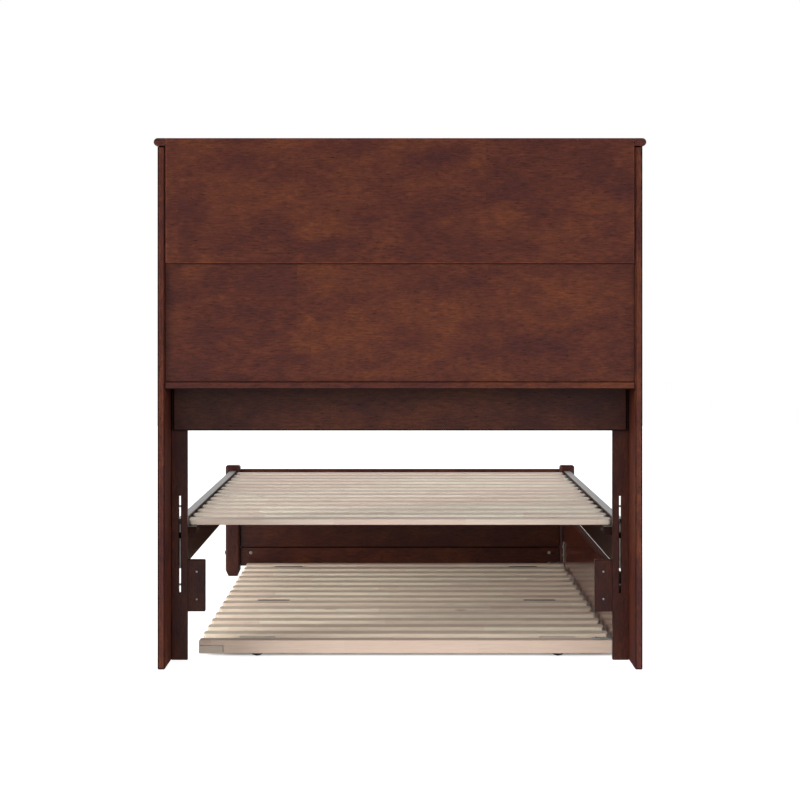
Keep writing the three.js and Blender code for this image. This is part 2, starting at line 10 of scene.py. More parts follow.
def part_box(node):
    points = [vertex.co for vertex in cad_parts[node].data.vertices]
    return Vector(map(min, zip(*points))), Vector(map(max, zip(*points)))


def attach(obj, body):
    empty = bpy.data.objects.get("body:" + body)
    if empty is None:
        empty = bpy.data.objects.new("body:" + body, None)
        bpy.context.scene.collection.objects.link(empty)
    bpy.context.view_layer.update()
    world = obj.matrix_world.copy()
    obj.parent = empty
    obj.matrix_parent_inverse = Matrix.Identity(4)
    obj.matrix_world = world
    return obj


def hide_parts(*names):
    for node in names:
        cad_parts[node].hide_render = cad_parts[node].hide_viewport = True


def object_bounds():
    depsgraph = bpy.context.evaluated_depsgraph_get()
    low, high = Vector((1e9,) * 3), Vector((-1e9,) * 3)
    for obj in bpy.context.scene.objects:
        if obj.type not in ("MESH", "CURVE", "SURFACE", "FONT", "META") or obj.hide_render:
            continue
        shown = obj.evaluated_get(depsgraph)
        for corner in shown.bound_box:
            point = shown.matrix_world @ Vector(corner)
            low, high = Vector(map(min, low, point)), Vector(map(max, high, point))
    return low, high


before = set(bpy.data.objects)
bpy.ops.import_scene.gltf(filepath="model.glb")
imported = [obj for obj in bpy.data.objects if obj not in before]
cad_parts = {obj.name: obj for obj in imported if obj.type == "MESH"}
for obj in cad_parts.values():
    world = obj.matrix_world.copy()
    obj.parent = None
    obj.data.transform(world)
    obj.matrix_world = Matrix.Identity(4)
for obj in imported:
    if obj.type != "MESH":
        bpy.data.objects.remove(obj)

cad_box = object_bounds()


# Side panels of the headboard: two tall boards that stand on the floor and carry the whole case.
# Rubberwood staves glued edge to edge and finger-jointed end to end, with their grain upright.
# Sanded, stained walnut, lacquered to a satin gloss, with every edge eased.
MM = 0.001
STAVE_LENGTH = 430 * MM
EASED_EDGE = 2 * MM
SHARP_ANGLE = math.radians(35)
FLAT_ANGLE = math.radians(1)
SAME_PLACE = 0.01 * MM
# Chance takes each board from its own place in the grain, and from its own rows of staves
GRAIN_SPREAD = 40
STAVE_SPREAD = 9
ROW_SPREAD = 90
BOARD_SPREAD = 900
# No point of a board lies right on the line between two rows
ROW_MARGIN = 0.001


def linear(hex_colour):
    """An sRGB hex colour as linear red, green, blue and alpha."""
    parts = [int(hex_colour[i : i + 2], 16) / 255 for i in (1, 3, 5)]
    return [c / 12.92 if c <= 0.04045 else ((c + 0.055) / 1.055) ** 2.4 for c in parts] + [1.0]


def add_node(tree, kind, inputs=None, **settings):
    """Adds a node. Each input is named by its name or number, and is a value, a socket or a node."""
    made = tree.nodes.new(kind)
    for name, value in settings.items():
        setattr(made, name, value)
    for name, value in (inputs or {}).items():
        if isinstance(name, int):
            socket = made.inputs[name]
        else:
            socket = next(s for s in made.inputs if s.name == name and s.enabled)
        if isinstance(value, bpy.types.Node):
            value = next(s for s in value.outputs if s.enabled)
        if isinstance(value, bpy.types.NodeSocket):
            tree.links.new(value, socket)
        else:
            socket.default_value = value
    return made


def new_material(name):
    material = bpy.data.materials.new(name)
    material.use_nodes = True
    material.node_tree.nodes.clear()
    return material, material.node_tree


def calc(tree, operation, *values, **settings):
    """A Math node over these values."""
    return add_node(tree, "ShaderNodeMath", dict(enumerate(values)), operation=operation, **settings)


def calc_vector(tree, operation, *values):
    """A Vector Math node over these values."""
    return add_node(tree, "ShaderNodeVectorMath", dict(enumerate(values)), operation=operation)


def parts_of(tree, vector):
    """A vector's three parts, by the names X, Y and Z."""
    return add_node(tree, "ShaderNodeSeparateXYZ", {0: vector}).outputs


def vector_of(tree, x, y, z):
    return add_node(tree, "ShaderNodeCombineXYZ", {0: x, 1: y, 2: z})


def remap(tree, value, start, end, low=0.0, high=1.0, **settings):
    """Maps the value's range from start to end onto the range from low to high, and stays in it."""
    ranges = {"Value": value, "From Min": start, "From Max": end, "To Min": low, "To Max": high}
    return add_node(tree, "ShaderNodeMapRange", ranges, **settings)


def mix_colours(tree, share, first, second):
    """The first colour where the share is 0, and the second where it is 1."""
    inputs = {"Factor": share, "A": first, "B": second}
    return add_node(tree, "ShaderNodeMix", inputs, data_type="RGBA")


def dimmed(tree, colour, gain):
    """The colour, darker or lighter by the gain."""
    return add_node(tree, "ShaderNodeVectorMath", {0: colour, "Scale": gain}, operation="SCALE")


def noise(tree, place, detail, roughness, scale=1.0, distortion=0.0):
    """Soft random values, one unit of place across unless the scale makes them finer."""
    look = {"Scale": scale, "Detail": detail, "Roughness": roughness, "Distortion": distortion}
    return add_node(tree, "ShaderNodeTexNoise", {"Vector": place, **look})


def stretched(tree, place, along, across):
    """The place in the grain, scaled by so much along the fibres and across them."""
    return calc_vector(tree, "MULTIPLY", place, (along, across, across))


def surface(material, tree, inputs):
    """Ends the material in a Principled shader with these inputs."""
    shader = add_node(tree, "ShaderNodeBsdfPrincipled", inputs)
    add_node(tree, "ShaderNodeOutputMaterial", {"Surface": shader})
    return material


def stave_of(tree, length):
    """Nodes that tell a glued board's staves apart: a random colour and value for each stave."""
    place = add_node(tree, "ShaderNodeAttribute", attribute_name="stave")
    parts = parts_of(tree, place.outputs["Vector"])
    row = calc(tree, "FLOOR", parts["Y"])
    row_at = vector_of(tree, row, parts["Z"], 0)
    shift = add_node(tree, "ShaderNodeTexWhiteNoise", {"Vector": row_at}, noise_dimensions="2D")
    along = calc(tree, "ADD", parts["X"], shift.outputs["Value"])
    column = calc(tree, "FLOOR", calc(tree, "DIVIDE", along, length))
    stave_at = vector_of(tree, row, column, parts["Z"])
    return add_node(tree, "ShaderNodeTexWhiteNoise", {"Vector": stave_at}, noise_dimensions="3D")


def own_grain(tree, stave, jump):
    """The place in the grain, which jumps by chance from each stave to the next."""
    grain = add_node(tree, "ShaderNodeAttribute", attribute_name="grain")
    jumps = (jump, jump, jump)
    return calc_vector(tree, "MULTIPLY_ADD", stave.outputs["Color"], jumps, grain.outputs["Vector"])


def growth_rings(tree, place, profile, wander, bend):
    """Bands that run with the fibres, and wander from side to side."""
    look = {"Vector": place, "Scale": 1, "Distortion": wander, "Detail": 2, "Detail Scale": bend}
    wave = add_node(tree, "ShaderNodeTexWave", look, bands_direction="Y", wave_profile=profile)
    return wave.outputs["Fac"]


# The stain's three tones, how fast the grain jumps between staves, and how its clouds lie
STAIN_TONES = ("#371719", "#4b2118", "#623119")
STAVE_JUMP = 3
CLOUD_SCALE = (7, 14, 14)
CLOUD_SLOPE = (0, 0, math.radians(24))


def walnut_stain(name, shade, roughness=0.31, gloss_level=0.3):
    """Walnut stain on rubberwood under satin lacquer. The stain takes unevenly, so soft clouds from
    purple-brown to orange-brown drift over the staves, and long fibres and short pores show dark."""
    material, tree = new_material(name)
    stave = stave_of(tree, STAVE_LENGTH)
    fibre_at = own_grain(tree, stave, STAVE_JUMP)
    # Clouds of stain about 140 mm long and 70 mm high, which drift across the grain
    grain = add_node(tree, "ShaderNodeAttribute", attribute_name="grain")
    cloud_at = add_node(
        tree,
        "ShaderNodeMapping",
        {"Vector": grain.outputs["Vector"], "Rotation": CLOUD_SLOPE, "Scale": CLOUD_SCALE},
    )
    cloud = noise(tree, cloud_at, detail=5, roughness=0.6, distortion=0.4)
    # Blotches about 45 mm long that start anew in each stave
    blotch_at = stretched(tree, fibre_at, along=22, across=38)
    blotch = noise(tree, blotch_at, detail=5, roughness=0.65, distortion=0.8)
    # Fibres about 20 mm long and 3 mm wide, three times as wide as real ones so that they show
    streak = noise(tree, stretched(tree, fibre_at, along=50, across=340), detail=2, roughness=0.6)
    # Pores: dark dashes about 8 mm long. Real ones are 0.3 mm wide, and these are 1.6 mm wide to show.
    pore_noise = noise(tree, stretched(tree, fibre_at, along=120, across=620), detail=1, roughness=0.4)
    pore = remap(tree, pore_noise, 0.56, 0.68)
    # Growth rings: dark lines 13 mm apart that wander with the grain, shown only here and there
    ring_at = stretched(tree, fibre_at, along=1.4, across=24)
    ring_line = remap(tree, growth_rings(tree, ring_at, "SAW", wander=7, bend=0.9), 0.8, 1)
    ring_where = remap(tree, blotch, 0.5, 0.66)
    ring = calc(tree, "MULTIPLY", ring_line, ring_where)
    # Tone, from dark at 0 to light at 1: mostly the clouds and blotches, and a little the stave
    tone_cloud = calc(tree, "MULTIPLY_ADD", cloud, 1.5, -0.35)
    tone_blotch = calc(tree, "ADD", blotch, tone_cloud)
    tone_stave = calc(tree, "MULTIPLY_ADD", stave.outputs["Value"], 0.22, tone_blotch)
    tone = remap(tree, tone_stave, 0.25, 1.65, interpolation_type="SMOOTHSTEP")
    dark, middle, light = [linear(stain_tone) for stain_tone in STAIN_TONES]
    lower = mix_colours(tree, remap(tree, tone, 0, 0.5), dark, middle)
    stain = mix_colours(tree, remap(tree, tone, 0.5, 1), lower, light)
    # Fibres lighten and darken the stain, and pores and rings darken it
    streak_gain = remap(tree, streak, 0.3, 0.7, 0.58 * shade, 1.42 * shade)
    pore_loss = calc(tree, "MULTIPLY_ADD", pore, -0.42, 1)
    ring_loss = calc(tree, "MULTIPLY_ADD", ring, -0.5, 1)
    gain = calc(tree, "MULTIPLY", streak_gain, calc(tree, "MULTIPLY", pore_loss, ring_loss))
    colour = dimmed(tree, stain, gain)
    # The lacquer sinks into the fibres a little, so the gloss is uneven
    gloss = remap(tree, streak, 0.2, 0.8, roughness - 0.05, roughness + 0.05)
    height = calc(tree, "MULTIPLY_ADD", pore, -0.5, streak)
    bump = add_node(tree, "ShaderNodeBump", {"Strength": 0.25, "Distance": 0.15 * MM, "Height": height})
    lacquer = {"Roughness": gloss, "IOR": 1.5, "Specular IOR Level": gloss_level, "Normal": bump}
    return surface(material, tree, {"Base Color": colour, **lacquer})


walnut_face = walnut_stain("walnut_stained_rubberwood", 1.0)
# Stain gathers in the sanded end fibres of an eased edge, so edges are darker; they are painted much
# darker still, as painted shade that draws dark outlines.
# The same dark material is painted shade on the upper back's top, the rails' inner faces and the ledgers.
walnut_edge_stain_and_shade = walnut_stain("walnut_stained_eased_edge", 0.22, gloss_level=0.12)
# The side panels' edges are painted near black: painted shade that draws a dark line along the back
# panels' seams and round the panels
painted_shade_panel_edge = walnut_stain("walnut_stained_panel_edge", 0.06, gloss_level=0.05)
PANEL_EDGE = 2.6 * MM
# Faces that nobody touches are stained and not polished
walnut_matt = walnut_stain("walnut_stained_unpolished", 0.8, roughness=0.8, gloss_level=0.08)
# The posts, the apron, the stop blocks and the footboard are a darker copy of the case's walnut: painted
# shade for parts that stand in shade under the case and the bed
painted_shade_frame_walnut = walnut_stain("walnut_stained_frame_wood", 0.66)
WALNUT = (walnut_face, walnut_edge_stain_and_shade)
FRAME_WALNUT_PAINTED_SHADE = (painted_shade_frame_walnut, walnut_edge_stain_and_shade)


def new_object(name, mesh):
    made = bpy.data.objects.new(name, mesh)
    bpy.context.scene.collection.objects.link(made)
    return made


def object_from(name, work, mesh=None):
    """The mesh in the making as a new object."""
    mesh = mesh or bpy.data.meshes.new(name)
    work.to_mesh(mesh)
    work.free()
    return new_object(name, mesh)


def copy_of_node(name, cad_node):
    """The CAD node's solid as a clean mesh: corners joined, and flat faces whole again."""
    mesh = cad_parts[cad_node].data.copy()
    mesh.materials.clear()
    work = bmesh.new()
    work.from_mesh(mesh)
    bmesh.ops.remove_doubles(work, verts=work.verts, dist=SAME_PLACE)
    bmesh.ops.dissolve_limit(work, angle_limit=FLAT_ANGLE, verts=work.verts, edges=work.edges)
    return object_from(name, work, mesh)


def made_plain(piece):
    """Turns what the piece's modifiers make into its own mesh, and takes the modifiers away."""
    graph = bpy.context.evaluated_depsgraph_get()
    mesh = bpy.data.meshes.new_from_object(piece.evaluated_get(graph))
    piece.modifiers.clear()
    piece.data = mesh
    return piece


def ease_edges(piece, width, materials, segments=3):
    """Rounds the sharp edges, which take the second material, and keeps flat faces flat to the eye."""
    piece.data.materials.clear()
    for material in materials:
        piece.data.materials.append(material)
    piece.data.polygons.foreach_set("material_index", [0] * len(piece.data.polygons))
    piece.data.polygons.foreach_set("use_smooth", [True] * len(piece.data.polygons))
    bevel = piece.modifiers.new("eased edges", "BEVEL")
    bevel.width = width
    bevel.segments = segments
    bevel.limit_method = "ANGLE"
    bevel.angle_limit = SHARP_ANGLE
    bevel.material = len(materials) - 1
    flat = piece.modifiers.new("flat faces", "WEIGHTED_NORMAL")
    flat.keep_sharp = True
    return made_plain(piece)


def lay_grain(piece, grain_axis, rows=1):
    """Gives each point its place in the board's own grain: along it, across it and through it."""
    co = np.empty(len(piece.data.vertices) * 3, np.float32)
    piece.data.vertices.foreach_get("co", co)
    co = co.reshape(-1, 3)
    low = co.min(0)
    size = co.max(0) - low
    along = "XYZ".index(grain_axis)
    others = sorted((i for i in range(3) if i != along), key=lambda i: -size[i])
    order = [along, *others]
    chance = random.Random(piece.name)
    start = np.array([chance.uniform(0, GRAIN_SPREAD) for _ in order], np.float32)
    share = (co[:, others[0]] - low[others[0]]) / size[others[0]]
    stave = np.empty_like(co)
    stave[:, 0] = co[:, along] + chance.uniform(0, STAVE_SPREAD)
    stave[:, 1] = chance.randint(0, ROW_SPREAD) + ROW_MARGIN + (1 - 2 * ROW_MARGIN) * share * rows
    stave[:, 2] = chance.randint(0, BOARD_SPREAD)
    for name, value in (("grain", co[:, order] + start), ("stave", stave)):
        attribute = piece.data.attributes.new(name, "FLOAT_VECTOR", "POINT")
        attribute.data.foreach_set("vector", value.astype(np.float32).ravel())


def finish(piece, body, slot, *nodes):
    if nodes:
        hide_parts(*nodes)
    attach(piece, body)
    return piece


def board(name, cad_node, grain_axis, rows=1, ease=EASED_EDGE, materials=WALNUT, body="bed_frame",
          slot="walnut_stained_wood", cutter=None):
    """A wooden board in the place of a CAD node, less the cutter's solid if there is one."""
    piece = copy_of_node(name, cad_node)
    if cutter:
        notch = piece.modifiers.new("notch", "BOOLEAN")
        notch.object = cutter
        made_plain(piece)
        bpy.data.objects.remove(cutter)
    ease_edges(piece, ease, materials)
    lay_grain(piece, grain_axis, rows)
    return finish(piece, body, slot, cad_node)


def refinish(piece, material, direction, least=0.7):
    """Gives this material to the faces that look this way, by at least this cosine."""
    piece.data.materials.append(material)
    for face in piece.data.polygons:
        if face.normal.dot(Vector(direction)) > least:
            face.material_index = len(piece.data.materials) - 1


SIDES = (("left", -1), ("right", 1))
PANEL_LOOK = {"ease": PANEL_EDGE, "materials": (walnut_face, painted_shade_panel_edge)}
for side, sign in SIDES:
    panel = board("side_panel_" + side, "head_side_" + side, "Z", rows=2, **PANEL_LOOK)
    refinish(panel, walnut_matt, (-sign, 0, 0))


# Shelves and dividers of the bookcase, which open towards the mattress.
# The same stained boards, screwed and dowelled between the side panels. The bottom shelf runs right
# through to the back, and its rear edge shows under the lower back panel.
bottom_shelf = board("bottom_shelf", "head_bottom_shelf", "X", rows=2)
refinish(bottom_shelf, walnut_matt, (0, 0, 1))
board("middle_shelf", "head_middle_shelf", "X", rows=2)
for side, _ in SIDES:
    board("divider_" + side, "head_divider_" + side, "Z", rows=1)


# Back panels. The upper one is a thick board let in between the side panels, up to the top.
# The lower one is a thin board let into a rebate, 10 mm further in, so it lies in a soft shadow.
# The upper one's edges are painted paler, a painted highlight beside the dark seams, and its top is
# painted dark as painted shade.
painted_highlight_edge = walnut_stain("walnut_stained_rubbed_edge", 2.5, roughness=0.45)
UPPER_LOOK = {"ease": 3 * MM, "materials": (walnut_face, painted_highlight_edge)}
LOWER_EASE = 0.6 * MM
upper_back = board("upper_back", "head_upper_back", "X", rows=2, **UPPER_LOOK)
# Painted shade: its top faces take the dark edge material
refinish(upper_back, walnut_edge_stain_and_shade, (0, 0, 1), least=0.3)
board("lower_back", "head_lower_back", "X", rows=2, ease=LOWER_EASE)


# Top board: one long board over the whole case, with its ends and its front turned full round.
# It is notched behind for the upper back panel, and dowelled onto the side panels.
TOP_EASE = 0.8 * MM
board("top_board", "head_top_board", "X", rows=2, ease=TOP_EASE)


# Apron rail and posts under the bookcase. The rail ties the posts together below the bottom shelf,
# and each post is slotted right through for the hooks of a side rail.
APRON_EASE = 3 * MM
POST_EASE = 1.2 * MM
board("apron_rail", "head_apron_rail", "X", ease=APRON_EASE, materials=FRAME_WALNUT_PAINTED_SHADE)
for side, _ in SIDES:
    board("head_post_" + side, "head_post_" + side, "Z", ease=POST_EASE, materials=FRAME_WALNUT_PAINTED_SHADE)


# Cross pins in the posts' slots: two hardened steel pins across each slot, above and below the hooks.
# They are pressed in from the side and keep the slot from spreading when the rail is hooked in.
PIN_DIAMETER = 5 * MM
PIN_LENGTH = 22 * MM
PIN_HEIGHTS = (355.5 * MM, 174 * MM)
PIN_SIDES = 24
PIN_EASE = 0.6 * MM


def zinc_plate(name, tint, roughness):
    """Bright zinc on steel: a blue-grey metal whose faint crystals blur its reflections unevenly."""
    material, tree = new_material(name)
    place = add_node(tree, "ShaderNodeTexCoord").outputs["Object"]
    # Crystals about 1.5 mm across, drawn a little coarser than real ones so that they show
    crystals = add_node(tree, "ShaderNodeTexVoronoi", {"Vector": place, "Scale": 650})
    crystal = add_node(tree, "ShaderNodeSeparateColor", {0: crystals.outputs["Color"]})
    stain = noise(tree, place, scale=60, detail=3, roughness=0.6)
    shine = calc(tree, "MULTIPLY_ADD", crystal.outputs[0], 0.12, roughness)
    colour = mix_colours(tree, remap(tree, stain, 0.35, 0.75), linear(tint), linear("#8f908c"))
    return surface(material, tree, {"Base Color": colour, "Metallic": 1.0, "Roughness": shine})


zinc = zinc_plate("zinc_plated_steel", "#d2d3cf", 0.28)


def middle_of(cad_node):
    low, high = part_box(cad_node)
    return (low + high) / 2


def slot_pins(side):
    """Both pins of one post's slot, lying across it."""
    middle_x = middle_of("hook_plate_head_" + side).x
    middle_y = middle_of("head_post_" + side).y
    work = bmesh.new()
    for height in PIN_HEIGHTS:
        place = Matrix.Translation((middle_x, middle_y, height)) @ Matrix.Rotation(math.pi / 2, 4, "Y")
        bmesh.ops.create_cone(
            work,
            cap_ends=True,
            segments=PIN_SIDES,
            radius1=PIN_DIAMETER / 2,
            radius2=PIN_DIAMETER / 2,
            depth=PIN_LENGTH,
            matrix=place,
        )
    pins = ease_edges(object_from("slot_pins_" + side, work), PIN_EASE, (zinc,), segments=2)
    finish(pins, "bed_frame", "zinc_plated_steel")


for side, _ in SIDES:
    slot_pins(side)


# Stop blocks: a short thick block bolted to the inner face of each post, low down, which the
# trundle's front panel closes against. Painted a darker walnut like the posts, as painted shade, with two
# round-headed bolts in each.
BLOCK_BOLT_HEIGHTS = (203 * MM, 139 * MM)
BLOCK_BOLT_X = 473 * MM
BLOCK_EASE = 1.5 * MM
HEAD_SEGMENTS = 20
HEAD_RINGS = 10
HEAD_SUNK = 1 * MM
# What lies above this height on a ball of radius 1 is its upper half
HEAD_EQUATOR = -0.001
CROSS_ARM = 0.3


def head_sizes(radius, height, recess_width, recess_depth, cross=False):
    """A fastener head's sizes, given in millimetres, and whether its recess is a cross."""
    return {
        "Head radius": radius * MM,
        "Head height": height * MM,
        "Recess width": recess_width * MM,
        "Recess depth": recess_depth * MM,
        "Cross recess": cross,
    }


BLOCK_BOLT = head_sizes(3, 2.2, recess_width=2.4, recess_depth=1)


def new_tree(name, inputs, result):
    """A Geometry Nodes tree with these inputs, listed by their kind, and one resulting geometry."""
    tree = bpy.data.node_groups.new(name, "GeometryNodeTree")
    for kind, names in inputs.items():
        for given in names:
            tree.interface.new_socket(name=given, in_out="INPUT", socket_type="NodeSocket" + kind)
    tree.interface.new_socket(name=result, in_out="OUTPUT", socket_type="NodeSocketGeometry")
    return tree, add_node(tree, "NodeGroupInput").outputs


def stored(tree, name):
    """Reads the vector that is stored under this name."""
    node = add_node(tree, "GeometryNodeInputNamedAttribute", {"Name": name}, data_type="FLOAT_VECTOR")
    return node.outputs["Attribute"]


def greater(tree, value, than):
    """True where the value is greater than the other one."""
    inputs = {"A": value, "B": than}
    return add_node(tree, "FunctionNodeCompare", inputs, data_type="FLOAT", operation="GREATER_THAN")


def switch(tree, kind, condition, otherwise, chosen):
    """The chosen value where the condition holds, and the other one elsewhere."""
    inputs = {"Switch": condition, "False": otherwise, "True": chosen}
    return add_node(tree, "GeometryNodeSwitch", inputs, input_type=kind)


def domed_head(tree, given):
    """A ball whose upper half is pressed to the head's height, with its lower half flat and sunk in."""
    ball = {"Segments": HEAD_SEGMENTS, "Rings": HEAD_RINGS, "Radius": 1.0}
    parts = parts_of(tree, add_node(tree, "GeometryNodeInputPosition"))
    x = calc(tree, "MULTIPLY", parts["X"], given["Head radius"])
    y = calc(tree, "MULTIPLY", parts["Y"], given["Head radius"])
    dome = calc(tree, "MULTIPLY", parts["Z"], given["Head height"])
    z = switch(tree, "FLOAT", greater(tree, parts["Z"], HEAD_EQUATOR), -HEAD_SUNK, dome)
    spot = vector_of(tree, x, y, z)
    sphere = add_node(tree, "GeometryNodeMeshUVSphere", ball)
    return add_node(tree, "GeometryNodeSetPosition", {"Geometry": sphere, "Position": spot})


def recess_cutter(tree, given):
    """The hollow for the driver, at the head's top: a hexagon, or a cross of two bars."""
    width = given["Recess width"]
    deep = calc(tree, "MULTIPLY", given["Recess depth"], 2.0)
    half = calc(tree, "MULTIPLY", width, 0.5)
    thin = calc(tree, "MULTIPLY", width, CROSS_ARM)
    hexagon = add_node(tree, "GeometryNodeMeshCylinder", {"Vertices": 6, "Radius": half, "Depth": deep})
    cross = add_node(tree, "GeometryNodeMeshBoolean", operation="UNION")
    for long_x, long_y in ((width, thin), (thin, width)):
        bar = add_node(tree, "GeometryNodeMeshCube", {"Size": vector_of(tree, long_x, long_y, deep)})
        tree.links.new(bar.outputs["Mesh"], cross.inputs["Mesh"])
    cutter = switch(tree, "GEOMETRY", given["Cross recess"], hexagon, cross)
    lift = vector_of(tree, 0, 0, given["Head height"])
    return add_node(tree, "GeometryNodeTransform", {"Geometry": cutter, "Translation": lift})


def fastener_heads():
    """A Geometry Nodes tree that sets a domed head at each point, facing along the point's aim."""
    inputs = {
        "Geometry": ("Points",),
        "Float": ("Head radius", "Head height", "Recess width", "Recess depth"),
        "Bool": ("Cross recess",),
        "Material": ("Finish",),
    }
    tree, given = new_tree("fastener_heads", inputs, "Heads")
    head = add_node(
        tree, "GeometryNodeMeshBoolean", {"Mesh 1": domed_head(tree, given)}, operation="DIFFERENCE"
    )
    tree.links.new(recess_cutter(tree, given).outputs[0], head.inputs["Mesh 2"])

    # Each head is turned by chance about its own axis, as driven screws are
    points = add_node(tree, "GeometryNodeMeshToPoints", {"Mesh": given["Points"]})
    facing = add_node(tree, "FunctionNodeAlignRotationToVector", {"Vector": stored(tree, "aim")}, axis="Z")
    turn = add_node(tree, "FunctionNodeRandomValue", {"Min": 0.0, "Max": math.tau}, data_type="FLOAT")
    spin = add_node(tree, "FunctionNodeAxisAngleToRotation", {"Axis": (0, 0, 1), "Angle": turn})
    both = {"Rotation": facing, "Rotate By": spin}
    rotation = add_node(tree, "FunctionNodeRotateRotation", both, rotation_space="LOCAL")
    placed = {"Points": points, "Instance": head, "Rotation": rotation}
    heads = add_node(tree, "GeometryNodeInstanceOnPoints", placed)
    real = add_node(tree, "GeometryNodeRealizeInstances", {"Geometry": heads})
    all_round = {"Geometry": real, "Shade Smooth": True}
    smooth = add_node(tree, "GeometryNodeSetShadeSmooth", all_round, domain="FACE")
    angle = add_node(tree, "GeometryNodeInputMeshEdgeAngle").outputs["Unsigned Angle"]
    crease = {"Geometry": smooth, "Selection": greater(tree, angle, SHARP_ANGLE), "Shade Smooth": False}
    sharp = add_node(tree, "GeometryNodeSetShadeSmooth", crease, domain="EDGE")
    done = add_node(tree, "GeometryNodeSetMaterial", {"Geometry": sharp, "Material": given["Finish"]})
    add_node(tree, "NodeGroupOutput", {"Heads": done})
    return tree


FASTENER_HEADS = fastener_heads()


def run_tree(piece, tree, values):
    """Runs a Geometry Nodes tree on the piece with these named inputs, and makes the result plain."""
    modifier = piece.modifiers.new(tree.name, "NODES")
    modifier.node_group = tree
    for socket in tree.interface.items_tree:
        if socket.name in values:
            modifier[socket.identifier] = values[socket.name]
    return made_plain(piece)


def fasten(name, body, places, head, finish_material=zinc, slot="zinc_plated_steel"):
    """Fastener heads at each place, a list of (point, direction that the head faces)."""
    mesh = bpy.data.meshes.new(name)
    mesh.from_pydata([point for point, _ in places], [], [])
    aim = mesh.attributes.new("aim", "FLOAT_VECTOR", "POINT")
    aim.data.foreach_set("vector", [c for _, direction in places for c in direction])
    piece = new_object(name, mesh)
    run_tree(piece, FASTENER_HEADS, {**head, "Finish": finish_material})
    return finish(piece, body, slot)


for side, sign in SIDES:
    board("stop_block_" + side, "stop_block_" + side, "Z", ease=BLOCK_EASE, materials=FRAME_WALNUT_PAINTED_SHADE)
    face_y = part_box("stop_block_" + side)[0].y
    fasten(
        "stop_block_bolts_" + side,
        "bed_frame",
        [((sign * BLOCK_BOLT_X, face_y, height), (0, -1, 0)) for height in BLOCK_BOLT_HEIGHTS],
        BLOCK_BOLT,
    )


# Side rails: long boards that hook onto the headboard's posts and into the foot posts.
# Each has a slat ledger, a strip glued and screwed along its inner face, painted dark all over as painted
# shade.
# The rails' tops and inner faces are painted darker than their outer faces, as painted shade.
LEDGER_EASE = 1 * MM
LEDGER_SCREW_SPACING = 300 * MM
LEDGER_SCREW_END = 60 * MM
LEDGER_SCREW = head_sizes(4, 0.7, recess_width=4.6, recess_depth=0.6, cross=True)


def spread(low, high, spacing):
    """Evenly spaced places from low to high, about as far apart as the spacing."""
    steps = max(1, round((high - low) / spacing))
    return [low + (high - low) * i / steps for i in range(steps + 1)]


painted_shade_rail_top = walnut_stain("walnut_stained_rail_top", 0.3, gloss_level=0.22)
for side, sign in SIDES:
    rail = board("side_rail_" + side, "side_rail_" + side, "Y")
    # Painted shade on the rail's top and on its inner face
    refinish(rail, painted_shade_rail_top, (0, 0, 1))
    refinish(rail, walnut_edge_stain_and_shade, (-sign, 0, 0))
    board("slat_ledger_" + side, "slat_ledger_" + side, "Y", ease=LEDGER_EASE, materials=(walnut_edge_stain_and_shade,))
    low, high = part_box("slat_ledger_" + side)
    inner_x = high.x if sign < 0 else low.x
    fasten(
        "ledger_screws_" + side,
        "bed_frame",
        [
            ((inner_x, y, (low.z + high.z) / 2), (-sign, 0, 0))
            for y in spread(low.y + LEDGER_SCREW_END, high.y - LEDGER_SCREW_END, LEDGER_SCREW_SPACING)
        ],
        LEDGER_SCREW,
    )


# Hook plates: 3 mm steel, stamped and zinc plated, let into a kerf in each end of a side rail.
# The hook at each end drops behind the headboard's post or into the foot post's pocket.
HOOK_PLATE_EASE = 0.5 * MM
ENDS = ("head", "foot")
for end in ENDS:
    for side, _ in SIDES:
        plate = copy_of_node(f"hook_plate_{end}_{side}_plated", f"hook_plate_{end}_{side}")
        ease_edges(plate, HOOK_PLATE_EASE, (zinc,), segments=2)
        finish(plate, "bed_frame", "zinc_plated_steel", f"hook_plate_{end}_{side}")


# Bed slats: fourteen bare boards, round at the corners, lying on the ledgers with even gaps.
# Finger-jointed from short lengths of a pale pinkish wood, planed and left bare, with a few knots.
SLAT_BLOCK_LENGTH = 310 * MM
SLAT_EASE = 2.6 * MM
SLAT_CORNER_STEPS = 6
BED_SLATS = 14
BED_GRAIN_SEED = 4
SLAT_CORNER = 9 * MM
SLAT_SCREW_INSET = 13 * MM
SLAT_SCREW = head_sizes(4, 0.3, recess_width=4.6, recess_depth=0.28, cross=True)
# How fast the grain jumps from one finger-jointed block to the next
BLOCK_JUMP = 5


